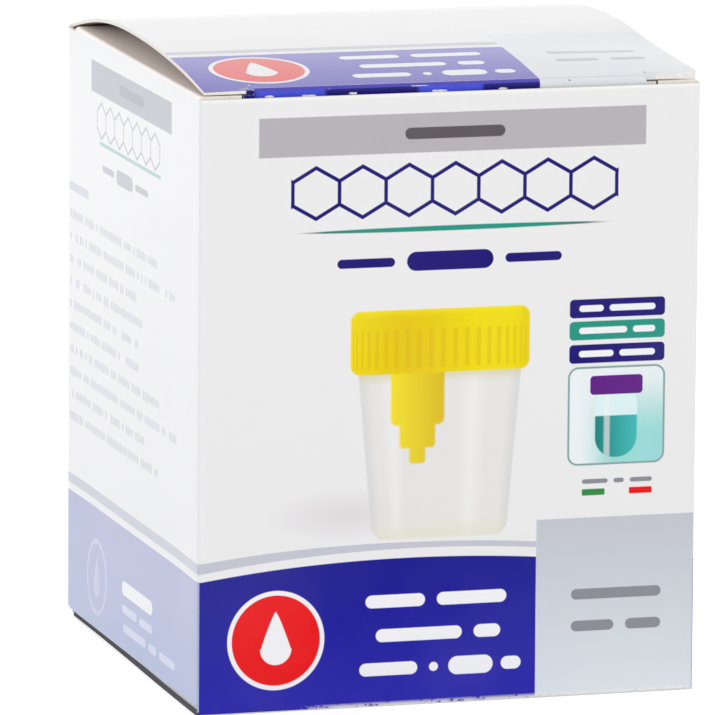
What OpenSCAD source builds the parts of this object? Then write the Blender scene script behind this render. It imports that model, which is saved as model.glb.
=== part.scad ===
// Folding carton for one small cup: a square sleeve of coated board with a slit-lock tuck lid
// and a glued bottom. The origin is the middle of the base, and the front faces -Y.
// Shown closed, with the lid springing up in a bow between its two folds.

/* [Carton] */
// Width, left to right outside
body_w = 67; // [50:1:100]
// Depth, front to back outside
body_d = 67; // [50:1:100]
// Height of the front panel
body_h = 80; // [50:1:160]
// Thickness of the board
board = 0.45; // [0.35:0.05:0.6]
// Outer radius of the upright folds
corner_r = 0.6; // [0.5:0.1:1.2]

/* [Glue seam] */
// Width of the glue flap inside the back right corner
seam_w = 12; // [6:1:20]
// Taper at each end of the glue flap
seam_taper = 4; // [1:0.5:8]
// How far the right panel's raw edge stops short of the back
seam_reveal = 0.4; // [0:0.1:1]

/* [Lid] */
// Gap between each side of the carton and the lid's edge
lid_side_gap = 0.65; // [0.6:0.05:1.5]
// Height of the lid's back fold above the front panel
back_rise = 0.8; // [0.6:0.1:1.5]
// Height of the lid's front edge above the front panel
front_rise = 1.05; // [0.9:0.05:2]
// Height of the bowed lid's crest above the front panel
crest_rise = 4.1; // [3:0.1:6]
// Distance from the back fold to the crest
crest_back = 27; // [20:1:34]
// Outer radius of the fold between the lid and its tuck flap
tuck_fold_r = 0.75; // [0.6:0.05:1.2]
// Length of the tuck flap below its fold
tuck_len = 15; // [8:0.5:20]
// Radius of the tuck flap's lower corners
tuck_corner_r = 7; // [3:0.5:8]
// Gap between the front panel and the tuck flap
tuck_gap = 0.12; // [0.1:0.02:0.4]

/* [Slit lock] */
// Length of the cut at each end of the lid's front fold
slit_len = 6.6; // [5:0.2:10]
// Radius of the hook where the cut turns back into the lid
hook_r = 1.6; // [1:0.1:2.5]
// Width of the cut
kerf = 0.22; // [0.15:0.01:0.4]
// How far the lid's tabs stop behind the front face
tab_setback = 0.35; // [0.1:0.05:0.8]
// Width of the tongue of a dust flap that lies under a tab
tongue_w = 5.2; // [3:0.2:8]
// Gap between a tongue and the tuck flap's side
tongue_gap = 0.3; // [0.25:0.05:1]

/* [Top dust flaps] */
// Length of a dust flap, measured inwards
dust_len = 27; // [15:1:34]
// Height of its front end above the front panel
dust_front_rise = 0.4; // [0.1:0.05:0.45]
// Height that it gains towards the back
dust_climb = 0.6; // [0:0.05:0.6]
// How far its front edge steps back beyond the tongue
dust_step = 2.2; // [2:0.1:5]
// Room between its back edge and the back panel
dust_back_room = 4; // [3.5:0.5:10]
// Slant of its front and back edges over its length
dust_slant = 5; // [1:0.5:9]
// Radius of its two free corners
dust_corner_r = 5; // [2:0.5:8]
// Outer radius of the folds of the flaps
flap_fold_r = 0.55; // [0.5:0.05:0.8]

/* [Glued bottom] */
// Length of the small bottom flaps from the two sides
minor_len = 27; // [15:1:34]
// Gap between the free edge of a large bottom flap and the opposite fold
major_short = 0.9; // [0.6:0.1:6]
// How far the bottom flaps stop inside the panels at their ends
flap_end_gap = 0.7; // [0.6:0.1:2]
// Slant of the ends of the small bottom flaps
minor_slant = 3; // [0:0.5:8]

/* [Hidden] */
$fn = 64;

front = -body_d / 2;
back = body_d / 2;
side = body_w / 2;
arc_steps = 5;
// Clearance between the two halves of the back fold
fold_gap = 0.02;
// Overlap of pieces that are one board
weld = 0.6;
// Room beyond a cut, so that it passes through
over = 1;

// The lid's bow: two arcs with a common tangent at the crest.
function bow_radius(run, rise) = (run * run + rise * rise) / (2 * rise);
crest_y = back - crest_back;
crest_z = body_h + crest_rise;
back_bow_r = bow_radius(crest_back, crest_rise - back_rise);
front_bow_run = crest_y - front - tab_setback;
front_bow_r = bow_radius(front_bow_run, crest_rise - front_rise);

// The tuck flap leans back just enough for its tip to pass the front panel as the lid opens.
tuck_out_angle = asin(tuck_len / body_d);
tuck_pass_angle = asin(body_d * (1 - cos(tuck_out_angle)) / tuck_len);
lean_spare = 1.2;
tuck_lean = tuck_out_angle - tuck_pass_angle + lean_spare;
tuck_face_y = front + board + tuck_gap;
tuck_fold_y = tuck_face_y + tuck_fold_r * cos(tuck_lean);
tuck_fold_turn = asin((crest_y - tuck_fold_y) / (front_bow_r - tuck_fold_r));
tuck_fold_z = crest_z - front_bow_r + (front_bow_r - tuck_fold_r) * cos(tuck_fold_turn);
lid_side = side - lid_side_gap;
slit_x = lid_side - slit_len;
tuck_side = side - board - tongue_w - tongue_gap;

// A point at a radius about a centre, turned by an angle from straight up towards the front.
function turned(c, r, a) = [c[0] - r * sin(a), c[1] + r * cos(a)];
function arc(c, r, a0, a1, steps) = [for (i = [0:steps]) turned(c, r, a0 + (a1 - a0) * i / steps)];
function reversed(v) = [for (i = [len(v) - 1:-1:0]) v[i]];

back_bow_centre = [crest_y, crest_z - back_bow_r];
front_bow_centre = [crest_y, crest_z - front_bow_r];
tuck_fold_centre = [tuck_fold_y, tuck_fold_z];
back_bow_steps = 9;
front_bow_steps = 12;
back_start = -asin(crest_back / back_bow_r);
back_start_inner = -asin((crest_back - board) / (back_bow_r - board));
back_fold = [back, body_h + back_rise];
back_fold_inner = turned(back_bow_centre, back_bow_r - board, back_start_inner);
tab_turn = asin(front_bow_run / front_bow_r);
tuck_turn = 90 + tuck_lean;

// One surface of the lid from the back fold to an angle on the front arc: outer, or a board below.
function bow(depth, start, stop) = concat(
    arc(back_bow_centre, back_bow_r - depth, start, 0, back_bow_steps),
    [for (i = [1:front_bow_steps])
        turned(front_bow_centre, front_bow_r - depth, stop * i / front_bow_steps)]);

// A profile in the Y-Z plane, drawn out from x0 to x1.
module across(profile, x0, x1) {
    translate([x0, 0, 0])
        rotate([90, 0, 90])
            linear_extrude(x1 - x0)
                polygon(profile);
}

// A rectangle with true round corners.
module round_rect(w, d, r) {
    square([w - 2 * r, d], center = true);
    square([w, d - 2 * r], center = true);
    for (sx = [-1, 1], sy = [-1, 1])
        translate([sx * (w / 2 - r), sy * (d / 2 - r)])
            circle(r);
}

// A flap and its fold: it rises from a stub of panel at u = 0 and turns inwards along +u.
// Its outer face is at w = 0, and it runs along v from 0 to run.
module folded_flap(length, run) {
    c = [flap_fold_r, -flap_fold_r];
    profile = concat(
        [[0, -flap_fold_r - weld]],
        arc(c, flap_fold_r, 90, 0, arc_steps),
        [[length, 0], [length, -board]],
        arc(c, flap_fold_r - board, 0, 90, arc_steps),
        [[board, -flap_fold_r - weld]]);
    translate([0, run, 0])
        rotate([90, 0, 0])
            linear_extrude(run)
                polygon(profile);
}

// A rounded corner of a flat outline: the arc about c from one angle to another.
function round_corner(c, r, a0, a1) = [for (i = [0:arc_steps])
    let (a = a0 + (a1 - a0) * i / arc_steps) [c[0] + r * cos(a), c[1] + r * sin(a)]];
// The angle at which a straight edge from p runs into the arc about c, on its left (1) or right (-1).
function tangent_angle(c, r, p, s) = let (d = p - c) atan2(d[1], d[0]) - s * acos(r / norm(d));

// Outline of a top dust flap: u runs inwards and v from the front panel's outer face backwards.
tongue_u = board + tongue_w;
tongue_v = board + tuck_gap;
dust_back_v = body_d - dust_back_room;
tongue_root = [tongue_u, tongue_v + dust_step];
dust_back_root = [dust_corner_r, dust_back_v];
dust_front_tip = [dust_len - dust_corner_r, tongue_v + dust_step + dust_slant + dust_corner_r];
dust_back_tip = [dust_len - dust_corner_r, dust_back_v - dust_slant - dust_corner_r];
dust_outline = concat(
    [[-over, tongue_v], [tongue_u, tongue_v], tongue_root],
    round_corner(dust_front_tip, dust_corner_r,
        tangent_angle(dust_front_tip, dust_corner_r, tongue_root, -1), 0),
    round_corner(dust_back_tip, dust_corner_r,
        0, tangent_angle(dust_back_tip, dust_corner_r, dust_back_root, 1)),
    [dust_back_root, [-over, dust_back_v]]);

module top_dust_flap() {
    climb_angle = atan(dust_climb / body_d);
    translate([-side, front, body_h + dust_front_rise])
        rotate([climb_angle, 0, 0])
            intersection() {
                folded_flap(dust_len, body_d);
                translate([0, 0, -over - flap_fold_r])
                    linear_extrude(2 * over + flap_fold_r)
                        polygon(dust_outline);
            }
}

// A small bottom flap, the innermost layer: its fold stands two boards above the base.
module minor_bottom_flap() {
    end_v = board + flap_end_gap;
    outline = [
        [-over, end_v],
        [flap_fold_r, end_v],
        [minor_len, end_v + minor_slant],
        [minor_len, body_d - end_v - minor_slant],
        [flap_fold_r, body_d - end_v],
        [-over, body_d - end_v]];
    translate([-side, front, 2 * board])
        mirror([0, 0, 1])
            intersection() {
                folded_flap(minor_len, body_d);
                translate([0, 0, -over - flap_fold_r])
                    linear_extrude(2 * over + flap_fold_r)
                        polygon(outline);
            }
}

// A large bottom flap from the front or the back panel, one layer above another.
module major_bottom_flap(base_z) {
    run = body_w - 2 * flap_end_gap;
    translate([run / 2, front, base_z])
        mirror([0, 0, 1])
            rotate([0, 0, 90])
                folded_flap(body_d - major_short, run);
}

// The four panels as one ring, cut to the height of each panel and its folds.
module sleeve() {
    top = body_h + crest_rise;
    dust_z = body_h + dust_front_rise - flap_fold_r;
    difference() {
        linear_extrude(top)
            difference() {
                round_rect(body_w, body_d, corner_r);
                round_rect(body_w - 2 * board, body_d - 2 * board, corner_r - board);
            }
        // Above the front panel
        translate([-body_w, front - over, body_h])
            cube([2 * body_w, over + board + tuck_gap, top]);
        // Above the side panels, along the dust flaps' folds
        translate([-body_w, front + board, dust_z])
            rotate([atan(dust_climb / body_d), 0, 0])
                cube([2 * body_w, dust_back_v - board, top]);
        translate([-body_w, front + dust_back_v - over, body_h + back_rise - board])
            cube([2 * body_w, dust_back_room + over - board, top]);
        // Above the back panel, along the lid's fold
        across([
            [back_fold[0] + over, back_fold[1] - fold_gap],
            [back_fold[0], back_fold[1] - fold_gap],
            [back_fold_inner[0], back_fold_inner[1] - fold_gap],
            [back_fold_inner[0] - 2 * over, back_fold_inner[1] - fold_gap],
            [back_fold_inner[0] - 2 * over, top + over],
            [back_fold[0] + over, top + over]], -body_w, body_w);
        // Below the fold of the front panel
        translate([-body_w, front - over, -over])
            cube([2 * body_w, over + board, over + flap_fold_r]);
        // Below the folds of the side and back panels
        translate([-body_w, front + board, -over])
            cube([2 * body_w, body_d, over + 2 * board + flap_fold_r]);
        // The right panel's raw edge at the glue seam
        translate([side - board, back - seam_reveal, -over])
            cube([board + over, seam_reveal + over, top]);
    }
}

module glue_flap() {
    low = 3 * board + flap_fold_r;
    high = body_h - board;
    translate([side - 2 * board, back - board, 0])
        rotate([90, 0, -90])
            mirror([0, 0, 1])
                linear_extrude(board)
                    polygon([[0, low], [seam_w, low + seam_taper],
                        [seam_w, high - seam_taper], [0, high]]);
}

module carton() {
    color("whitesmoke") {
        sleeve();
        glue_flap();
        top_dust_flap();
        mirror([1, 0, 0])
            top_dust_flap();
        minor_bottom_flap();
        mirror([1, 0, 0])
            minor_bottom_flap();
        major_bottom_flap(0);
        mirror([0, 1, 0])
            major_bottom_flap(board);
    }
}

// The lid between its folds, with a tab at each end of the front edge.
module lid_panel() {
    outer = bow(0, back_start, tab_turn);
    inner = bow(board, back_start_inner, tab_turn);
    across(concat(outer, reversed(inner)), -lid_side, lid_side);
}

// The fold and the tuck flap: the fold is as long as the space between the cuts.
module tuck_flap() {
    fold_outer = arc(tuck_fold_centre, tuck_fold_r, tuck_fold_turn, tuck_turn, arc_steps);
    fold_inner = arc(tuck_fold_centre, tuck_fold_r - board, tuck_fold_turn, tuck_turn, arc_steps);
    tip_y = tuck_len * sin(tuck_lean);
    tip_z = tuck_len * cos(tuck_lean);
    end_outer = fold_outer[arc_steps];
    end_inner = fold_inner[arc_steps];
    flap = [
        end_outer,
        [end_outer[0] + tip_y, end_outer[1] - tip_z],
        [end_inner[0] + tip_y, end_inner[1] - tip_z],
        end_inner];
    across(concat(fold_outer, reversed(fold_inner)), -slit_x, slit_x);
    intersection() {
        across(flap, -tuck_side, tuck_side);
        translate([0, back, end_outer[1] - tip_z])
            rotate([90, 0, 0])
                linear_extrude(2 * body_d)
                    tuck_outline(2 * tip_z);
    }
}

module tuck_outline(height) {
    translate([-tuck_side, tuck_corner_r])
        square([2 * tuck_side, height]);
    translate([-tuck_side + tuck_corner_r, 0])
        square([2 * (tuck_side - tuck_corner_r), height]);
    for (s = [-1, 1])
        translate([s * (tuck_side - tuck_corner_r), tuck_corner_r])
            circle(tuck_corner_r);
}

// What is cut away in front of the fold, and the hooks at the inner ends of the cuts.
module slit_cuts() {
    low = body_h;
    height = crest_rise;
    translate([-slit_x, front - over, low])
        cube([2 * slit_x, over + tuck_fold_y - front, height]);
    for (s = [-1, 1])
        translate([s * (slit_x + kerf + hook_r), tuck_fold_y + hook_r - kerf, low])
            intersection() {
                linear_extrude(height)
                    difference() {
                        circle(hook_r + kerf);
                        circle(hook_r);
                    }
                translate([s < 0 ? 0 : -2 * hook_r, -2 * hook_r, 0])
                    cube([2 * hook_r, 2 * hook_r, height]);
            }
}

module lid() {
    color("white") {
        difference() {
            lid_panel();
            slit_cuts();
        }
        tuck_flap();
    }
}

carton();
lid();
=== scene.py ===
"""A small folding carton of printed board: its creased sheet, its print, its light and its camera.

Lengths are in millimetres, in the frame's own axes, until MM turns them into metres. The lamps, the
floor and the camera are placed in metres. Colours are written as they look on a screen, 0 to 255.
The front faces -Y, and the carton stands on z = 0.
"""

import math
from collections import namedtuple

import bmesh
import bpy
from mathutils import Matrix, Vector, noise
from mathutils.bvhtree import BVHTree


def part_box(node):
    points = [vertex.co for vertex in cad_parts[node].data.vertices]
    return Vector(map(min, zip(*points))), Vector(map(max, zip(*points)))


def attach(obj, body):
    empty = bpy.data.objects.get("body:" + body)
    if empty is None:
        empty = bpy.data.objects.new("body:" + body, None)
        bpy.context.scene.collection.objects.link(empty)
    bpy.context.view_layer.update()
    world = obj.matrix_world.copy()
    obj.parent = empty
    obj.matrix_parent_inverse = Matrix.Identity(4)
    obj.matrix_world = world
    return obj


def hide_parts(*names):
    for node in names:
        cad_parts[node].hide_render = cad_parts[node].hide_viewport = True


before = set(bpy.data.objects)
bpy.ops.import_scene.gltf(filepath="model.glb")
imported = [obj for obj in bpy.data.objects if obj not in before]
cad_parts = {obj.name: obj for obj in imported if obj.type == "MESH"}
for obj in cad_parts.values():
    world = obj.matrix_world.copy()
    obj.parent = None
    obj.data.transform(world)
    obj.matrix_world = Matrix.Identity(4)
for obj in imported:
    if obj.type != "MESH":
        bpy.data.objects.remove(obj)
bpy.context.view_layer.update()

MM = 0.001

# Sizes of the carton, from the frame
carton_low, carton_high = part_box("carton")
WIDTH = (carton_high.x - carton_low.x) / MM
SIDE = WIDTH / 2
FRONT = carton_low.y / MM

# Sizes that the frame doesn't give
FRONT_TOP = 80.0        # height of the front panel
TUCK_TOP = 80.7         # height up to which the tuck flap keeps its form
LID_FOLD = 81.0         # height at which the tuck flap's print begins
BOARD = 0.45            # thickness of the board
BOTTOM_TOP = 0.93       # just above the two layers of board of the glued bottom
FLAP_END = 32.8         # from the middle to each end of the large bottom flaps
CUT_X = 26.25           # from the middle to the cut at each end of the tuck flap
GRID = 2.7              # pitch of the mesh, fine enough to warp


# Numbers that vary over the surface

class Tree:
    """The node tree of one material or world, with arithmetic on its sockets."""

    def __init__(self, owner):
        self.nodes = owner.node_tree.nodes
        self.links = owner.node_tree.links

    def node(self, kind, **settings):
        made = self.nodes.new(kind)
        for name, value in settings.items():
            setattr(made, name, value)
        return made

    def put(self, socket, value):
        if isinstance(value, Field):
            self.links.new(value.socket, socket)
        elif hasattr(value, "is_output"):
            self.links.new(value, socket)
        else:
            socket.default_value = value

    def math(self, operation, *values, clamp=False):
        made = self.node("ShaderNodeMath", operation=operation, use_clamp=clamp)
        for socket, value in zip(made.inputs, values):
            self.put(socket, value)
        return Field(self, made.outputs[0])


class Field:
    """A number that varies over the surface."""

    def __init__(self, tree, socket):
        self.tree = tree
        self.socket = socket

    def __add__(self, other):
        return self.tree.math("ADD", self, other)

    def __sub__(self, other):
        return self.tree.math("SUBTRACT", self, other)

    def __mul__(self, other):
        return self.tree.math("MULTIPLY", self, other)

    def __truediv__(self, other):
        return self.tree.math("DIVIDE", self, other)

    def __rsub__(self, other):
        return self.tree.math("SUBTRACT", other, self)

    __radd__ = __add__
    __rmul__ = __mul__

    def abs(self):
        return self.tree.math("ABSOLUTE", self)

    def min(self, other):
        return self.tree.math("MINIMUM", self, other)

    def max(self, other):
        return self.tree.math("MAXIMUM", self, other)

    def floor(self):
        return self.tree.math("FLOOR", self)

    def fraction(self):
        return self.tree.math("FRACT", self)

    def root(self):
        return self.tree.math("SQRT", self)

    def sine(self):
        return self.tree.math("SINE", self)

    def power(self, other):
        return self.tree.math("POWER", self, other)

    def share(self, start, stop):
        """0 before start and 1 after stop, and straight between them."""
        return self.tree.math("MULTIPLY", self - start, 1 / (stop - start), clamp=True)

    def smooth(self, start, stop):
        """As share, with soft ends."""
        t = self.share(start, stop)
        return t * t * (3.0 - 2.0 * t)


def length(a, b):
    return (a * a + b * b).root()


def print_place(tree):
    """Where a point lies on the print map, in millimetres."""
    place = tree.node("ShaderNodeUVMap", uv_map="Print")
    parts = tree.node("ShaderNodeSeparateXYZ")
    tree.put(parts.inputs[0], place.outputs[0])
    return Field(tree, parts.outputs[0]), Field(tree, parts.outputs[1])


def rest_place(tree):
    """The rest position, in millimetres, as a vector socket."""
    place = tree.node("ShaderNodeTexCoord")
    scaled = tree.node("ShaderNodeVectorMath", operation="SCALE")
    tree.put(scaled.inputs[0], place.outputs["Object"])
    scaled.inputs["Scale"].default_value = 1 / MM
    return scaled.outputs[0]


def grain(tree, place, scale, detail=3.0, roughness=0.6, stretch=None):
    """Noise over the surface, 0 to 1."""
    if stretch:
        stretched = tree.node("ShaderNodeVectorMath", operation="MULTIPLY")
        tree.put(stretched.inputs[0], place)
        stretched.inputs[1].default_value = stretch
        place = stretched.outputs[0]
    made = tree.node("ShaderNodeTexNoise")
    tree.put(made.inputs["Vector"], place)
    made.inputs["Scale"].default_value = scale
    made.inputs["Detail"].default_value = detail
    made.inputs["Roughness"].default_value = roughness
    return Field(tree, made.outputs["Fac"])


def chance(tree, seed):
    """A random number, 0 to 1, for each value of the seed."""
    made = tree.node("ShaderNodeTexWhiteNoise", noise_dimensions="1D")
    tree.put(made.inputs["W"], seed)
    return Field(tree, made.outputs["Value"])


# Flat shapes, as masks that are 1 inside

EDGE = 0.1              # how softly ink ends


def filled(distance, soft=EDGE):
    """The mask of a shape from its distance field, which is below 0 inside."""
    return distance.share(soft / 2, -soft / 2)


def union(*masks):
    """The mask of several shapes together."""
    whole = masks[0]
    for mask in masks[1:]:
        whole = whole.max(mask)
    return whole


def between(value, low, high, soft=EDGE):
    return filled((low - value).max(value - high), soft)


def box_field(x, y, left, low, right, high, corner=0.0):
    """Distance field of an upright box, with round corners if corner is above 0."""
    dx = (x - (left + right) / 2).abs() - ((right - left) / 2 - corner)
    dy = (y - (low + high) / 2).abs() - ((high - low) / 2 - corner)
    if not corner:
        return dx.max(dy)
    return length(dx.max(0.0), dy.max(0.0)) + dx.max(dy).min(0.0) - corner


def box(x, y, left, low, right, high, corner=0.0, soft=EDGE):
    return filled(box_field(x, y, left, low, right, high, corner), soft)


def disc(x, y, centre_x, centre_y, radius, soft=EDGE):
    return filled(length(x - centre_x, y - centre_y) - radius, soft)


def drop(x, y, centre_x, centre_y, radius, tip):
    """A drop: a disc below, drawn in to a point tip above its centre."""
    above = (y - centre_y).max(0.0)
    width = radius * (1.0 - above * (1 / tip)).max(0.0).power(0.8) - EDGE
    round_part = length(x - centre_x, y - centre_y) - radius
    point_part = (x - centre_x).abs() - width
    below = (centre_y - y).share(-0.02, 0.02)
    return filled(round_part) * below + filled(point_part) * (1.0 - below)


def bar(x, y, left, right, middle, half):
    """A level bar with round ends. half is half its height."""
    along = ((x - (left + right) / 2).abs() - ((right - left) / 2 - half)).max(0.0)
    return filled(length(along, y - middle) - half)


def bar_row(x, y, middle, half, *spans):
    """Level bars in one row, each from its left end to its right one."""
    return union(*[bar(x, y, left, right, middle, half) for left, right in spans])


def block_rows(x, y, left, right, top, rows, seed):
    """Rows of small upright blocks. Chance gives each its height, leaves some out and ends each row."""
    row_pitch, block_pitch, block_height, block_share = 3.06, 0.95, 1.25, 0.76
    shortest_block, left_out, shortest_row = 0.7, 0.17, 0.55
    names_per_row, row_end_names = 57.0, 31.0
    tree = x.tree
    row = ((top - y) / row_pitch).floor()
    row_middle = top - (row + 0.5) * row_pitch
    along = (x - left) / block_pitch
    name = along.floor() + row * names_per_row + seed
    across = (along.fraction() - 0.5).abs() * block_pitch - block_share / 2 * block_pitch
    tall = chance(tree, name + 0.5) * (1.0 - shortest_block) + shortest_block
    upright = (y - row_middle).abs() - tall * (block_height / 2)
    shown = tree.math("GREATER_THAN", chance(tree, name), left_out)
    row_chance = chance(tree, row + (seed + row_end_names))
    row_share = row_chance * (1.0 - shortest_row) + shortest_row
    row_end = left + (right - left) * row_share
    inside = between(x, left, row_end) * between(y, top - rows * row_pitch, top)
    return filled(across.max(upright), 0.25) * shown * inside


# Inks

def ink(red, green, blue):
    """A screen colour, 0 to 255, as a node's colour."""
    straight = [c / 255 for c in (red, green, blue)]
    return (*[c / 12.92 if c <= 0.04045 else ((c + 0.055) / 1.055) ** 2.4 for c in straight], 1.0)


WHITE_COAT = ink(238, 237, 237)
COAT_CLOUDS = ink(216, 214, 216)
# Painted highlight along the front's cut top
TOP_EDGE_HIGHLIGHT = ink(247, 245, 242)
# The flaps' white coat, painted warmer and lighter than the walls': painted warm light bounced from
# under the lid
FLAP_COAT_WARM_LIT = ink(247, 236, 230)
SPLIT_COAT = ink(240, 237, 232)
FLAKED_COAT = ink(240, 238, 236)
WHITE_INK = ink(244, 244, 246)
NAVY = ink(20, 2, 116)
BAND_TOP = ink(4, 0, 140)
BAND_LOW = ink(38, 34, 172)
GREY_BAR = ink(184, 179, 184)
GREY_STRIPE = ink(198, 199, 210)
GREY_FIELD_TOP = ink(196, 199, 208)
GREY_FIELD_LOW = ink(222, 228, 233)
SOFT_GREY = ink(140, 141, 150)
DARK_GREY = ink(92, 86, 92)
TEAL = ink(28, 150, 130)
GREEN = ink(46, 140, 66)
RED = ink(236, 0, 8)
PURPLE = ink(96, 22, 132)

# The pictured cup and tube
YELLOW = ink(244, 222, 0)
YELLOW_TOP = ink(250, 236, 30)
YELLOW_SIDE = ink(228, 200, 4)
YELLOW_SHADE = ink(222, 176, 0)
SPOUT_LIGHT = ink(246, 226, 40)
SPOUT_DARK = ink(222, 190, 24)
CUP_CAST = ink(120, 60, 90)
CUP_CLEAR = ink(231, 229, 225)
CUP_WALL = ink(208, 208, 210)
CUP_SHINE = ink(246, 246, 246)
CUP_LOW_TINT = ink(230, 226, 200)
CUP_TOP_TINT = ink(214, 204, 140)
FRAME_LINE = ink(130, 164, 162)
FRAME_PALE = ink(238, 243, 244)
FRAME_TEAL = ink(136, 216, 212)
TUBE_CLEAR = ink(222, 244, 244)
TUBE_DARK = ink(20, 128, 124)
TUBE_LIGHT = ink(66, 188, 184)

# The left side and the lid catch glare, so their inks are paler than the front's
SIDE_BAR = ink(178, 179, 188)
SIDE_BAR_MARK = ink(158, 158, 166)
SIDE_GREY = ink(186, 186, 194)
SIDE_PALE_GREY = ink(208, 209, 216)
SIDE_TEAL = ink(160, 202, 194)
SIDE_BLUE_TOP = ink(172, 174, 211)
SIDE_BLUE_LOW = ink(170, 182, 216)
SIDE_BADGE = ink(196, 199, 226)
SIDE_WHITE = ink(212, 215, 234)
LID_BLUE_FRONT = ink(84, 76, 188)
LID_BLUE_BACK = ink(112, 100, 200)
LID_GREY = ink(230, 232, 237)
LID_SOFT_GREY = ink(188, 189, 197)
LID_RED = ink(238, 66, 62)
CREASE_NAVY = ink(4, 0, 112)
CREASE_BLUE = ink(62, 76, 212)
CREASE_GREY = ink(220, 224, 229)

# Bare board
INSIDE = ink(222, 204, 190)
INSIDE_PALE = ink(230, 215, 203)
INSIDE_FIBRE = ink(196, 174, 156)
RAW_EDGE = ink(242, 238, 232)
RAW_LAYER = ink(214, 200, 188)
# Painted shade on the glued bottom's edges, in the gap under the walls
BOTTOM_EDGE_SHADE = ink(62, 60, 66)


class Paint:
    """Layers of ink, one over another."""

    def __init__(self, tree, ground):
        self.tree = tree
        self.colour = ground

    def over(self, mask, colour):
        self.colour = self.mix(mask, self.colour, colour)

    def mix(self, amount, start, stop):
        """A colour that goes from start to stop with amount."""
        made = self.tree.node("ShaderNodeMix", data_type="RGBA")
        self.tree.put(made.inputs["Factor"], amount)
        self.tree.put(made.inputs[6], start)
        self.tree.put(made.inputs[7], stop)
        return made.outputs[2]


# Fields of colour that several panels share

BAND_Y = 17.55          # top of the blue field at the foot of a wall, at its left fold
GREY_LEFT = 45.4        # left edge of the grey field
TUCK_END = -4.0         # how far down the tuck flap the lid's print goes
BLEED = 1.0             # how far print runs past the folds


def head_bar(paint, x, y):
    """The grey bar along the head of a wall."""
    paint.over(box(x, y, 7.8, 72.3, 59.6, 77.4), GREY_BAR)


def band(paint, x, y, left, right, arch=False):
    """The blue field along the foot of a wall, with a line of bare coat and a grey stripe above it."""
    rise, narrow = 0.0, 0.0
    if arch:
        # The field's top climbs rightwards and levels off, and the stripe narrows on its way
        rise = (x * 0.1386 - x * x * 0.00246).max(-0.2)
        narrow = x.share(0.0, 30.0)
    inside = between(x, left, right)
    height = y - BAND_Y - rise
    stripe = between(height, 1.05 + narrow * 0.2, 2.4 - narrow * 0.38)
    paint.over(stripe * inside, GREY_STRIPE)
    paint.over(filled(height) * inside, paint.mix(y.share(0.0, 20.0), BAND_LOW, BAND_TOP))


def band_marks(paint, x, y, red=RED):
    """A badge and three rows of bars on the blue field."""
    badge_x, badge_y = 10.4, 9.5
    paint.over(disc(x, y, badge_x, badge_y, 6.5), WHITE_INK)
    paint.over(disc(x, y, badge_x, badge_y, 5.9), red)
    paint.over(drop(x, y, badge_x, badge_y - 1.1, 2.1, 5.0), WHITE_INK)
    top, middle, low, half = 13.9, 9.4, 5.0, 0.85
    paint.over(union(
        bar_row(x, y, top, half, (22.4, 30.4), (32.0, 41.4)),
        bar_row(x, y, middle, half, (23.8, 35.4), (37.0, 40.6)),
        bar_row(x, y, low, half, (21.6, 29.4), (40.7, 43.4)),
        bar(x, y, 31.0, 32.2, low, 0.6),
        bar(x, y, 33.6, 39.6, low, 1.2)), WHITE_INK)


def grey_marks(paint, x, y, grey=SOFT_GREY):
    """Two rows of bars on the grey field."""
    top, low, half = 13.5, 9.3, 0.7
    paint.over(union(
        bar(x, y, 50.2, 62.4, top, half),
        bar_row(x, y, low, half, (50.2, 56.0), (57.6, 62.4))), grey)


def hexagons(paint, x, y, left, middle, pitch, count, colour):
    """A chain of outlined hexagons, each standing on its point and sharing its upright sides."""
    line = 0.08 * pitch
    across = (((x - left) / pitch).fraction() * pitch - pitch / 2).abs()
    upright = across - pitch / 2 + line / 2
    slant = across * 0.5 + (y - middle).abs() * 0.866 - pitch / 2
    ring = filled(slant) * (1.0 - filled(upright.max(slant + line)))
    chain = between(x, left - line / 2, left + line / 2 + count * pitch)
    paint.over(ring * chain, colour)


# The front's print. x runs rightwards from the left fold, and y upwards from the base.

CUP_MIDDLE = 32.2
CUP_FOOT = 22.0
CUP_LID_LOW = 43.6
CUP_LID_TOP = 51.9
CUP_LID_HALF = 12.0     # half of the cup's width at its lid
LABEL_LEFT = 49.6
LABEL_RIGHT = 62.5


def tapered_rule(paint, x, y, middle_x, middle_y, reach):
    """A level line, teal and thickest at its middle, and grey and drawn out towards its ends."""
    along = (x - middle_x) / reach
    half_height = 0.34 * (1.0 - along * along).max(0.0)
    rule = filled((y - middle_y).abs() - half_height, 0.12)
    faded = (1.0 - along.abs()).smooth(0.0, 0.25)
    paint.over(rule * faded, paint.mix(along.abs().smooth(0.45, 1.0), TEAL, DARK_GREY))


def front_head(paint, x, y):
    """A grey bar, a chain of hexagons, a tapered rule and three short bars."""
    head_bar(paint, x, y)
    paint.over(bar(x, y, 27.2, 40.6, 74.8, 0.75), DARK_GREY)
    hexagons(paint, x, y, 12.3, 67.5, 6.2, 7, NAVY)
    tapered_rule(paint, x, y, 34.0, 62.4, 22.5)
    paint.over(union(
        bar_row(x, y, 58.2, 0.6, (18.3, 26.0), (40.8, 48.4)),
        bar(x, y, 27.6, 39.2, 58.2, 1.25)), NAVY)


def cup_shadow(paint, x, y):
    """A soft shadow on the ground, left of the cup."""
    from_middle = length((x - 20.0) / 11.0, (y - 25.5) / 3.4)
    paint.over((1.0 - from_middle).max(0.0).power(0.8) * 0.16, CUP_CAST)


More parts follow.
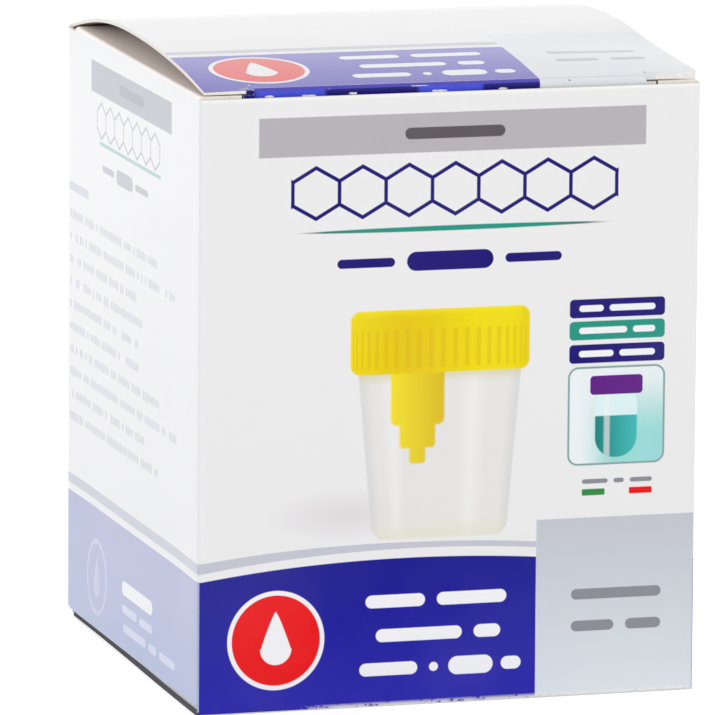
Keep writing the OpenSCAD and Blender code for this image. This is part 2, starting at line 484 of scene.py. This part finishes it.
def cup_body(paint, x, y):
    """The cup's clear body, which narrows downwards. across is 0 at its middle and 1 at its sides."""
    half = 9.0 + 1.9 * (y - CUP_FOOT).share(0.0, CUP_LID_LOW - CUP_FOOT)
    across = (x - CUP_MIDDLE) / half
    body = box(across * 10.0, y, -10.0, CUP_FOOT, 10.0, CUP_LID_LOW + 2.0, 1.8, 0.25)
    wall = across.abs().smooth(0.82, 1.0)
    right_shine = (1.0 - (across - 0.42).abs() * 5.0).max(0.0)
    left_shine = (1.0 - (across + 0.62).abs() * 7.0).max(0.0)
    low_part = (y - CUP_FOOT).smooth(3.4, 0.0)
    top_part = (CUP_LID_LOW - y).smooth(1.6, 0.0)
    paint.over(body * 0.75, CUP_CLEAR)
    paint.over(body * wall * 0.5, CUP_WALL)
    paint.over(body * (right_shine + left_shine) * 0.5, CUP_SHINE)
    paint.over(body * low_part * 0.6, CUP_LOW_TINT)
    paint.over(body * top_part * 0.5, CUP_TOP_TINT)


def cup_spout(paint, x, y):
    """A stepped spout that hangs in the cup, a little left of its middle."""
    middle, soft = CUP_MIDDLE - 3.0, 0.3
    # Half width, foot, top and corner of each step
    steps = ((3.6, 36.8, CUP_LID_LOW + 1.0, 0.9), (2.4, 33.8, 38.0, 0.6), (1.1, 31.8, 34.6, 0.5))
    spout = union(*[
        box(x, y, middle - half, low, middle + half, high, corner, soft)
        for half, low, high, corner in steps])
    paint.over(spout, paint.mix((x - middle).share(-3.6, 3.6), SPOUT_LIGHT, SPOUT_DARK))


def cup_lid(paint, x, y):
    """The cup's screw lid, ribbed below a plain rim."""
    left, right = CUP_MIDDLE - CUP_LID_HALF, CUP_MIDDLE + CUP_LID_HALF
    lid = box(x, y, left, CUP_LID_LOW, right, CUP_LID_TOP, 1.3, 0.25)
    turn = (x - CUP_MIDDLE) / CUP_LID_HALF
    angle = x.tree.math("ARCSINE", turn.max(-1.0).min(1.0))
    shade = (turn + 0.35).abs().smooth(0.9, 0.0) * 0.75
    ribs = (angle * 46.0).sine().share(-0.2, 0.9)
    ribbed = between(y, CUP_LID_LOW + 0.7, CUP_LID_TOP - 2.6, 0.3)
    top_part = (CUP_LID_TOP - y).smooth(1.1, 0.0)
    paint.over(lid, YELLOW)
    paint.over(lid * shade * 0.6, YELLOW_SHADE)
    paint.over(lid * ribbed * ribs * 0.42, YELLOW_SHADE)
    paint.over(lid * top_part * 0.5, YELLOW_TOP)
    paint.over(lid * turn.smooth(0.80, 1.0) * 0.5, YELLOW_SIDE)


def labels(paint, x, y):
    """Three labels, each with two bars in a row. split is where a label's bars part."""
    height, corner, inset, half_gap, bar_half = 2.45, 0.55, 1.3, 0.4, 0.42
    for low, colour, split in ((49.85, NAVY, 5.0), (46.95, TEAL, 8.2), (43.9, NAVY, 6.4)):
        paint.over(box(x, y, LABEL_LEFT, low, LABEL_RIGHT, low + height, corner), colour)
        first = (LABEL_LEFT + inset, LABEL_LEFT + split - half_gap)
        second = (LABEL_LEFT + split + half_gap, LABEL_RIGHT - inset)
        paint.over(bar_row(x, y, low + height / 2, bar_half, first, second), WHITE_INK)


def framed_tube(paint, x, y):
    """A round-ended tube with its stopper, about half full, in a thin frame over a teal haze."""
    frame_field = box_field(x, y, LABEL_LEFT, 30.6, LABEL_RIGHT, 43.3, 1.3)
    inside = filled(frame_field + 0.12)
    haze = (x - LABEL_LEFT).smooth(1.0, 6.5) * (y - 30.0).smooth(14.0, 4.0)
    paint.over(inside, FRAME_PALE)
    paint.over(inside * haze * 0.85, FRAME_TEAL)
    left, right, level = 53.2, 58.9, 36.9
    tube = box(x, y, left, 31.4, right, 41.0, 2.7, 0.15)
    paint.over(tube, TUBE_CLEAR)
    fluid = paint.mix((x - left).share(0.0, right - left), TUBE_DARK, TUBE_LIGHT)
    paint.over(tube * filled(y - level, 0.15), fluid)
    paint.over(tube * between(x, 54.4, 55.2, 0.2) * 0.5, WHITE_INK)
    paint.over(box(x, y, 52.5, 39.7, 59.6, 42.2, 0.5), PURPLE)
    paint.over(filled(frame_field.abs() - 0.13), FRAME_LINE)


def marks_under_frame(paint, x, y):
    """Three small grey bars in a row, and a green and a red one below them."""
    paint.over(bar_row(x, y, 28.35, 0.3, (51.5, 55.0), (55.8, 57.2), (58.0, 61.0)), SOFT_GREY)
    paint.over(box(x, y, 51.5, 26.5, 54.6, 27.35, 0.15), GREEN)
    paint.over(box(x, y, 57.9, 26.5, 61.0, 27.35, 0.15), RED)


def front_print(paint, x, y):
    front_head(paint, x, y)
    for picture in (cup_shadow, cup_body, cup_spout, cup_lid, labels, framed_tube, marks_under_frame):
        picture(paint, x, y)
    band(paint, x, y, -BLEED, GREY_LEFT, arch=True)
    band_marks(paint, x, y)
    grey_top = 23.6
    grey = paint.mix(y.share(0.0, grey_top), GREY_FIELD_LOW, GREY_FIELD_TOP)
    paint.over(box(x, y, GREY_LEFT, -BLEED, WIDTH + BLEED, grey_top), grey)
    grey_marks(paint, x, y)
    # A lighter band along the top: a painted highlight where the cut edge catches light
    paint.over(filled(FRONT_TOP - 0.4 - y, 0.3), TOP_EDGE_HIGHLIGHT)


# The other walls' print. On the left side, x runs from -WIDTH at the back to 0 at the front.

def left_head(paint, x, y):
    """The front's head again, smaller and paler, with a short bar and rows of blocks below it."""
    paint.over(box(x, y, -54.4, 73.6, -13.7, 77.8), SIDE_BAR)
    paint.over(bar(x, y, -40.0, -27.6, 75.7, 0.7), SIDE_BAR_MARK)
    hexagons(paint, x, y, -51.4, 70.2, 4.55, 7, SIDE_GREY)
    paint.over(box(x, y, -50.0, 66.9, -19.0, 67.4, 0.25), SIDE_TEAL)
    paint.over(union(
        bar_row(x, y, 64.0, 0.45, (-48.6, -42.6), (-31.8, -25.4)),
        bar(x, y, -41.4, -33.0, 64.0, 1.0)), SIDE_GREY)
    paint.over(bar(x, y, -66.0, -56.0, 59.2, 0.6), SIDE_PALE_GREY)
    paint.over(block_rows(x, y, -65.5, -9.0, 57.0, 10, 5.0), SIDE_PALE_GREY)


def left_foot(paint, x, y):
    """The left side's blue field, with a ringed drop and three rows of bars."""
    band(paint, x, y, -WIDTH - BLEED, BLEED)
    # The paler blue covers the deep one, which stays as a faint line along the field's top
    blue = paint.mix(y.share(0.0, 18.0), SIDE_BLUE_LOW, SIDE_BLUE_TOP)
    paint.over(filled(y - BAND_Y), blue)
    badge_x, badge_y = -51.5, 8.2
    paint.over(disc(x, y, badge_x, badge_y, 5.2), SIDE_BADGE)
    paint.over(disc(x, y, badge_x, badge_y, 4.5), blue)
    paint.over(drop(x, y, badge_x, badge_y - 1.0, 1.7, 4.0), SIDE_BADGE)
    paint.over(bar(x, y, -38.4, -23.0, 9.5, 0.95), WHITE_INK)
    paint.over(union(
        bar_row(x, y, 6.7, 0.55, (-38.2, -30.6), (-29.4, -22.8)),
        bar_row(x, y, 4.2, 0.55, (-37.4, -26.0), (-24.6, -20.6), (-19.2, -11.4))), SIDE_WHITE)


def left_print(paint, x, y):
    left_head(paint, x, y)
    left_foot(paint, x, y)


def far_print(paint, x, y):
    """The right and back panels, which the photograph doesn't show: plain fields alone."""
    band(paint, x, y, -BLEED, WIDTH + BLEED)
    head_bar(paint, x, y)


# The lid's print. y is the distance behind the front fold, and below 0 on the tuck flap.

# Pressed patches along the tuck flap's crease, as their middles and half widths
PRESSED = ((12.1, 4.6), (33.4, 4.3))

# Flecks along that crease where the coat flaked: place along and across it, half width, half height
FLECKS = (
    (7.9, 0.3, 1.1, 0.22), (9.3, -0.9, 0.6, 0.14), (14.7, -0.95, 0.9, 0.14),
    (16.9, 0.45, 1.2, 0.18), (20.4, -0.85, 0.5, 0.16), (29.2, 0.5, 1.4, 0.22),
    (31.9, -0.9, 1.0, 0.16), (38.3, 0.42, 0.5, 0.2), (40.4, -0.9, 0.6, 0.16))


def tuck_fold(paint, x, y):
    """The crease into the tuck flap: darker ink, brighter where it is pressed, with flecks."""
    tree = x.tree
    uneven = grain(tree, rest_place(tree), 0.9, 2.0) * 0.5 - 0.25
    strip = between(y, TUCK_END, 0.42 + uneven, 0.2)
    blue = filled(x - GREY_LEFT)
    paint.over(strip * blue, CREASE_NAVY)
    patches = union(*[filled((x - middle).abs() - half, 0.6) for middle, half in PRESSED])
    paint.over(strip * blue * patches * y.share(-2.0, -1.2), CREASE_BLUE)
    paint.over(strip * (1.0 - blue), CREASE_GREY)
    # A dark speck on the grey part
    paint.over(disc(x, y, 49.4, 0.55, 0.2, 0.15), DARK_GREY)
    ragged = grain(tree, rest_place(tree), 2.2, 2.0) * 1.6 - 0.8
    for along, across, half_width, half_height in FLECKS:
        spot = length((x - along) / half_width, (y - across) / half_height) - 1.0 + ragged
        paint.over(filled(spot, 0.4), FLAKED_COAT)


def lid_print(paint, x, y):
    paint.over(box(x, y, -BLEED, 18.6, GREY_LEFT, 20.2), GREY_STRIPE)
    blue = paint.mix(y.share(2.0, 17.0), LID_BLUE_FRONT, LID_BLUE_BACK)
    paint.over(box(x, y, -BLEED, TUCK_END, GREY_LEFT, 17.2), blue)
    paint.over(box(x, y, GREY_LEFT, TUCK_END, WIDTH + BLEED, 24.7), LID_GREY)
    band_marks(paint, x, y, LID_RED)
    grey_marks(paint, x, y, LID_SOFT_GREY)
    tuck_fold(paint, x, y)


# Materials

def material(name):
    made = bpy.data.materials.new(name)
    made.use_nodes = True
    return made, Tree(made), made.node_tree.nodes["Principled BSDF"]


def bump(tree, shader, height, depth):
    """Height, 0 to 1, becomes a relief of that depth in millimetres."""
    made = tree.node("ShaderNodeBump")
    tree.put(made.inputs["Height"], height)
    made.inputs["Distance"].default_value = depth * MM
    made.inputs["Strength"].default_value = 1.0
    tree.links.new(made.outputs[0], shader.inputs["Normal"])


def printed(name, ground, layers=None, cracks=None):
    """Coated board with ink under a thin varnish. cracks gives the mask of split ink at the folds."""
    made, tree, shader = material(name)
    x, y = print_place(tree)
    place = rest_place(tree)
    paint = Paint(tree, ground)
    if layers:
        layers(paint, x, y)
    paint.over(grain(tree, place, 0.05, 2.0).share(0.35, 0.75) * 0.025, COAT_CLOUDS)
    fibre = grain(tree, place, 1.6, 4.0)
    waves = grain(tree, place, 0.16, 2.0)
    relief = fibre * 0.5 + waves * 6.0
    if cracks:
        split = cracks(tree, x, y, place)
        paint.over(split, SPLIT_COAT)
        relief = relief + split * 3.0
    tree.put(shader.inputs["Base Color"], paint.colour)
    tree.put(shader.inputs["Roughness"], fibre * 0.14 + 0.4)
    shader.inputs["Specular IOR Level"].default_value = 0.0
    shader.inputs["Coat Weight"].default_value = 1.0
    shader.inputs["Coat Roughness"].default_value = 0.18
    shader.inputs["Coat IOR"].default_value = 1.22
    shader.inputs["Sheen Weight"].default_value = 0.4
    shader.inputs["Sheen Roughness"].default_value = 0.35
    bump(tree, shader, relief, 0.02)
    return made


def front_cracks(tree, x, y, place):
    """Ink splits at the foot of the front, right of its first quarter, and a little at its left fold."""
    fleck = grain(tree, place, 1.1, 3.0, 0.7)
    near = (y - 0.25).abs().share(0.55, 0.0)
    where = (x - 12.0).share(0.0, 6.0) * (WIDTH - x).share(0.0, 1.0)
    foot = near * (fleck + where * 0.22).share(0.60, 0.66) * where
    upright = x.abs().share(0.3, 0.0) * fleck.share(0.62, 0.7) * 0.6
    return foot.max(upright)


def inside_board():
    """Uncoated cream-grey back of the board, with short fibres."""
    made, tree, shader = material("board_inside")
    place = rest_place(tree)
    cloud = grain(tree, place, 0.25, 3.0)
    fibre = grain(tree, place, 3.0, 5.0, 0.7, (0.5, 1.0, 1.0))
    paint = Paint(tree, INSIDE)
    paint.over(cloud.share(0.3, 0.7) * 0.5, INSIDE_PALE)
    paint.over(fibre.share(0.62, 0.72) * 0.5, INSIDE_FIBRE)
    tree.put(shader.inputs["Base Color"], paint.colour)
    shader.inputs["Roughness"].default_value = 0.85
    shader.inputs["Specular IOR Level"].default_value = 0.3
    bump(tree, shader, fibre, 0.03)
    return made


def raw_edge():
    """The cut edge of the board: pressed layers of fibre between the coat and the back."""
    made, tree, shader = material("board_edge")
    place = rest_place(tree)
    layer = grain(tree, place, 4.0, 3.0)
    paint = Paint(tree, RAW_EDGE)
    paint.over(layer.share(0.45, 0.7) * 0.4, RAW_LAYER)
    parts = tree.node("ShaderNodeSeparateXYZ")
    tree.put(parts.inputs[0], place)
    # The glued bottom's edges are painted dark: painted shade in the gap under the walls
    paint.over(filled(Field(tree, parts.outputs[2]) - BOTTOM_TOP), BOTTOM_EDGE_SHADE)
    tree.put(shader.inputs["Base Color"], paint.colour)
    shader.inputs["Roughness"].default_value = 0.9
    bump(tree, shader, layer, 0.05)
    return made


# The folded sheet

WELD = 1e-6             # metres within which two corners are one
ON_PLANE = 1e-7         # metres within which a corner is on a cutting plane
UNDER_FACE = 1e-6       # metres under a face from which a ray looks through the board
DEEP = 3.4 * BOARD      # depth of board behind a face that makes it a cut edge
FLAT_ANGLE = 0.5        # degrees up to which two faces are one
SHARP_ANGLE = 38        # degrees from which an edge is shaded sharp
UP_SLOPE = 0.15         # a normal's z above which a face looks up

# One sheet of the scene. middle is a point inside it, and panel_of names the panel of an outside
# face. edges_look_up is False where no cut edge looks up, as on the bowed lid. to_print gives the
# print place of a point, and warp moves a point a little.
Sheet = namedtuple("Sheet", "name middle panel_of edges_look_up to_print warp")


def cut_fine(mesh, pitch):
    """Cuts every face of the mesh along planes a pitch apart, so that it can warp."""
    corners = [vert.co.copy() for vert in mesh.verts]
    for axis in range(3):
        low = min(corner[axis] for corner in corners)
        high = max(corner[axis] for corner in corners)
        count = max(1, round((high - low) / pitch))
        normal = Vector([float(i == axis) for i in range(3)])
        for step in range(1, count):
            # A little off the even places, which keeps the planes clear of the mesh's own edges
            point = normal * (low + (high - low) * (step + 0.013) / count)
            whole = mesh.verts[:] + mesh.edges[:] + mesh.faces[:]
            bmesh.ops.bisect_plane(mesh, geom=whole, plane_co=point, plane_no=normal, dist=ON_PLANE)


def fine_mesh(node):
    """A CAD node's own form, cut fine."""
    mesh = bmesh.new()
    mesh.from_mesh(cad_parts[node].data)
    bmesh.ops.remove_doubles(mesh, verts=mesh.verts, dist=WELD)
    flat = math.radians(FLAT_ANGLE)
    bmesh.ops.dissolve_limit(mesh, angle_limit=flat, verts=mesh.verts, edges=mesh.edges)
    cut_fine(mesh, GRID * MM)
    mesh.normal_update()
    return mesh


def surface_of(face, tree, sheet):
    """The material of a face: a cut edge has board deep behind it, and others face out or inwards."""
    centre = face.calc_center_median()
    start = centre - face.normal * UNDER_FACE
    other_side = tree.ray_cast(start, -face.normal, DEEP * MM)[0]
    may_be_edge = sheet.edges_look_up or face.normal.z <= UP_SLOPE
    if other_side is None and may_be_edge:
        return "edge"
    if face.normal.dot(centre - Vector(sheet.middle) * MM) > 0:
        return sheet.panel_of(face.normal)
    return "inside"


def lay_print(mesh, sheet, slots):
    """Gives each face its material and its place on the print, and marks the sharp edges."""
    tree = BVHTree.FromBMesh(mesh)
    layer = mesh.loops.layers.uv.new("Print")
    for face in mesh.faces:
        face.smooth = True
        face.material_index = slots.index(surface_of(face, tree, sheet))
        for loop in face.loops:
            loop[layer].uv = sheet.to_print(loop.vert.co, face.normal)
    for edge in mesh.edges:
        turned = len(edge.link_faces) != 2 or edge.calc_face_angle(0) > math.radians(SHARP_ANGLE)
        edge.smooth = not turned


def folded_board(node, sheet, materials):
    """One folded sheet in place of a CAD node: the node's own form, with its print, warped a little."""
    mesh = fine_mesh(node)
    lay_print(mesh, sheet, list(materials))
    for vert in mesh.verts:
        vert.co = Vector(sheet.warp(tuple(vert.co / MM))) * MM
    mesh.normal_update()
    data = bpy.data.meshes.new(sheet.name)
    mesh.to_mesh(data)
    mesh.free()
    for one in materials.values():
        data.materials.append(one)
    piece = bpy.data.objects.new(sheet.name, data)
    bpy.context.scene.collection.objects.link(piece)
    even = piece.modifiers.new("even_normals", "WEIGHTED_NORMAL")
    even.keep_sharp = True
    even.weight = 100
    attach(piece, node)
    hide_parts(node)


def wall_panel(normal):
    """Which panel of the carton an outside face is on."""
    if abs(normal.z) > 0.7:
        return "flaps" if normal.z > 0 else "bottom"
    if abs(normal.x) < abs(normal.y):
        return "front" if normal.y < 0 else "far"
    return "left" if normal.x < 0 else "far"


def wall_map(point, normal):
    """Print place on the walls: y upwards, and x rightwards from 0 at a panel's left fold.

    On the left side, x is 0 at the right fold and below 0 behind it.
    """
    x, y, z = (c / MM for c in point)
    if abs(normal.x) < abs(normal.y):
        return (x + SIDE, z) if normal.y < 0 else (SIDE - x, z)
    return (FRONT - y, z) if normal.x < 0 else (y - FRONT, z)


def lid_panel(normal):
    return "lid"


def lid_map(point, normal):
    """Print place on the lid: x from its left, and y backwards from the front fold."""
    x, y, z = (c / MM for c in point)
    if normal.z > 0.5 or y > 0:
        return x + SIDE, y - FRONT
    return x + SIDE, z - LID_FOLD


def smooth_step(value, start, stop):
    t = min(1.0, max(0.0, (value - start) / (stop - start)))
    return t * t * (3 - 2 * t)


def bell(value, centre, width):
    return math.exp(-(((value - centre) / width) ** 2))


def warp_carton(p):
    """Board is never quite flat: the walls dish in, away from their folds."""
    dish, dish_varies, flap_comes_out = 0.16, 0.07, 0.62
    x, y, z = p
    inner = smooth_step(z, 2, 14) * smooth_step(FRONT_TOP - z, 15, 30)
    flat_x = smooth_step(SIDE - abs(x), 1, 12)
    flat_y = smooth_step(SIDE - abs(y), 1, 12)
    depth = dish + dish_varies * noise.noise(Vector(p) * 0.03)
    if abs(y) > SIDE - 3 and abs(y) > abs(x):
        y -= math.copysign(depth * inner * flat_x, y)
    elif abs(x) > SIDE - 3:
        x -= math.copysign(depth * inner * flat_y, x)
    if z < BOTTOM_TOP and abs(abs(x) - FLAP_END) < 0.1:
        # The large bottom flaps reach almost to the sides at the front, and less towards the back
        x += math.copysign(flap_comes_out * smooth_step(SIDE - y, 8, 64), x)
    return x, y, z


def warp_lid(p):
    """The right tab springs up beside its cut, the left one dips, and the right edge is flatter."""
    x, y, z = p
    behind = y - FRONT
    if z < TUCK_TOP:
        return p
    right_tab_up = 0.6 * smooth_step(x, CUT_X, SIDE) * bell(behind, 0, 5)
    flatter = 0.48 * smooth_step(x, 6, SIDE) * bell(behind, 19, 8.5)
    left_tab_down = 0.12 * smooth_step(-x, CUT_X, SIDE) * bell(behind, 0, 5)
    return x, y, z + right_tab_up - flatter - left_tab_down


bare = {"inside": inside_board(), "edge": raw_edge()}
wall_materials = {
    "front": printed("printed_front", WHITE_COAT, front_print, front_cracks),
    "left": printed("printed_left", WHITE_COAT, left_print),
    "far": printed("printed_far", WHITE_COAT, far_print),
    # The flaps' warmer, lighter coat is painted bounce light
    "flaps": printed("plain_flaps", FLAP_COAT_WARM_LIT),
    "bottom": printed("plain_bottom", WHITE_COAT)}
lid_materials = {"lid": printed("printed_lid", WHITE_COAT, lid_print)}
carton_sheet = Sheet("carton_board", (0, 0, 40), wall_panel, True, wall_map, warp_carton)
lid_sheet = Sheet("lid_board", (0, 0, 60), lid_panel, False, lid_map, warp_lid)
folded_board("carton", carton_sheet, {**wall_materials, **bare})
folded_board("lid", lid_sheet, {**lid_materials, **bare})


# The set, in metres

def lamp(name, place, aim, size, power, colour=(1, 1, 1)):
    """A rectangular lamp that looks from its place at its aim."""
    data = bpy.data.lights.new(name, "AREA")
    data.shape = "RECTANGLE"
    data.size, data.size_y = size
    data.energy = power
    data.color = colour
    made = bpy.data.objects.new(name, data)
    made.location = place
    made.rotation_mode = "QUATERNION"
    made.rotation_quaternion = (Vector(aim) - Vector(place)).to_track_quat("-Z", "Y")
    made.visible_camera = False
    bpy.context.scene.collection.objects.link(made)


def seen_directly(tree):
    """1 for rays from the camera, off glossy surfaces and through clear ones, and 0 for others."""
    path = tree.node("ShaderNodeLightPath")
    kinds = ("Is Camera Ray", "Is Glossy Ray", "Is Transmission Ray")
    return union(*[Field(tree, path.outputs[kind]) for kind in kinds])


def studio_world(ambient):
    """White to the camera and in reflections, and a plain soft light on everything."""
    world = bpy.data.worlds.new("studio")
    world.use_nodes = True
    bpy.context.scene.world = world
    tree = Tree(world)
    background = world.node_tree.nodes["Background"]
    background.inputs["Color"].default_value = (1, 1, 1, 1)
    tree.put(background.inputs["Strength"], seen_directly(tree) * (1.0 - ambient) + ambient)


def floor():
    """A pale floor, brighter to the camera and in reflections."""
    reach = 3.0
    made, tree, shader = material("pale_floor")
    shader.inputs["Base Color"].default_value = (0.86, 0.86, 0.87, 1)
    shader.inputs["Roughness"].default_value = 0.7
    shader.inputs["Emission Color"].default_value = (1, 1, 1, 1)
    tree.put(shader.inputs["Emission Strength"], seen_directly(tree) * 0.5)
    mesh = bmesh.new()
    bmesh.ops.create_grid(mesh, x_segments=1, y_segments=1, size=reach)
    data = bpy.data.meshes.new("floor")
    mesh.to_mesh(data)
    mesh.free()
    data.materials.append(made)
    sheet = bpy.data.objects.new("floor", data)
    bpy.context.scene.collection.objects.link(sheet)


def camera():
    """The photograph's own view, solved from the carton's straight edges."""
    place = (-0.32534, -1.09477, 0.24245)
    right = Vector((0.95951, -0.28156, 0.00719))
    up = Vector((0.04243, 0.16972, 0.98457))
    back = Vector((-0.27843, -0.94441, 0.17480))
    data = bpy.data.cameras.new("camera")
    data.sensor_width = 36.0
    data.lens = 441.5
    data.clip_start, data.clip_end = 0.05, 50.0
    made = bpy.data.objects.new("camera", data)
    turn = Matrix((right, up, back)).transposed().to_4x4()
    made.matrix_world = Matrix.Translation(place) @ turn
    bpy.context.scene.collection.objects.link(made)
    bpy.context.scene.camera = made


bpy.context.scene.view_settings.view_transform = "Standard"
camera()
floor()
studio_world(0.55)
lamp("key", (0.25, -1.35, 0.7), (0, 0, 0.04), (1.7, 1.2), 9.3)
lamp("left", (-1.2, -0.3, 0.3), (0, 0, 0.0), (0.8, 0.5), 2.7, (0.9, 0.95, 1.0))
lamp("right", (1.25, 0.1, 0.5), (0, 0, 0.04), (0.8, 0.8), 1.7)
lamp("rear", (0.42, 1.25, 0.68), (0, 0, 0.06), (1.3, 0.8), 0.9)
lamp("low_behind", (-0.3, 0.42, 0.22), (-0.12, 0.16, 0.0), (0.5, 0.4), 0.75)
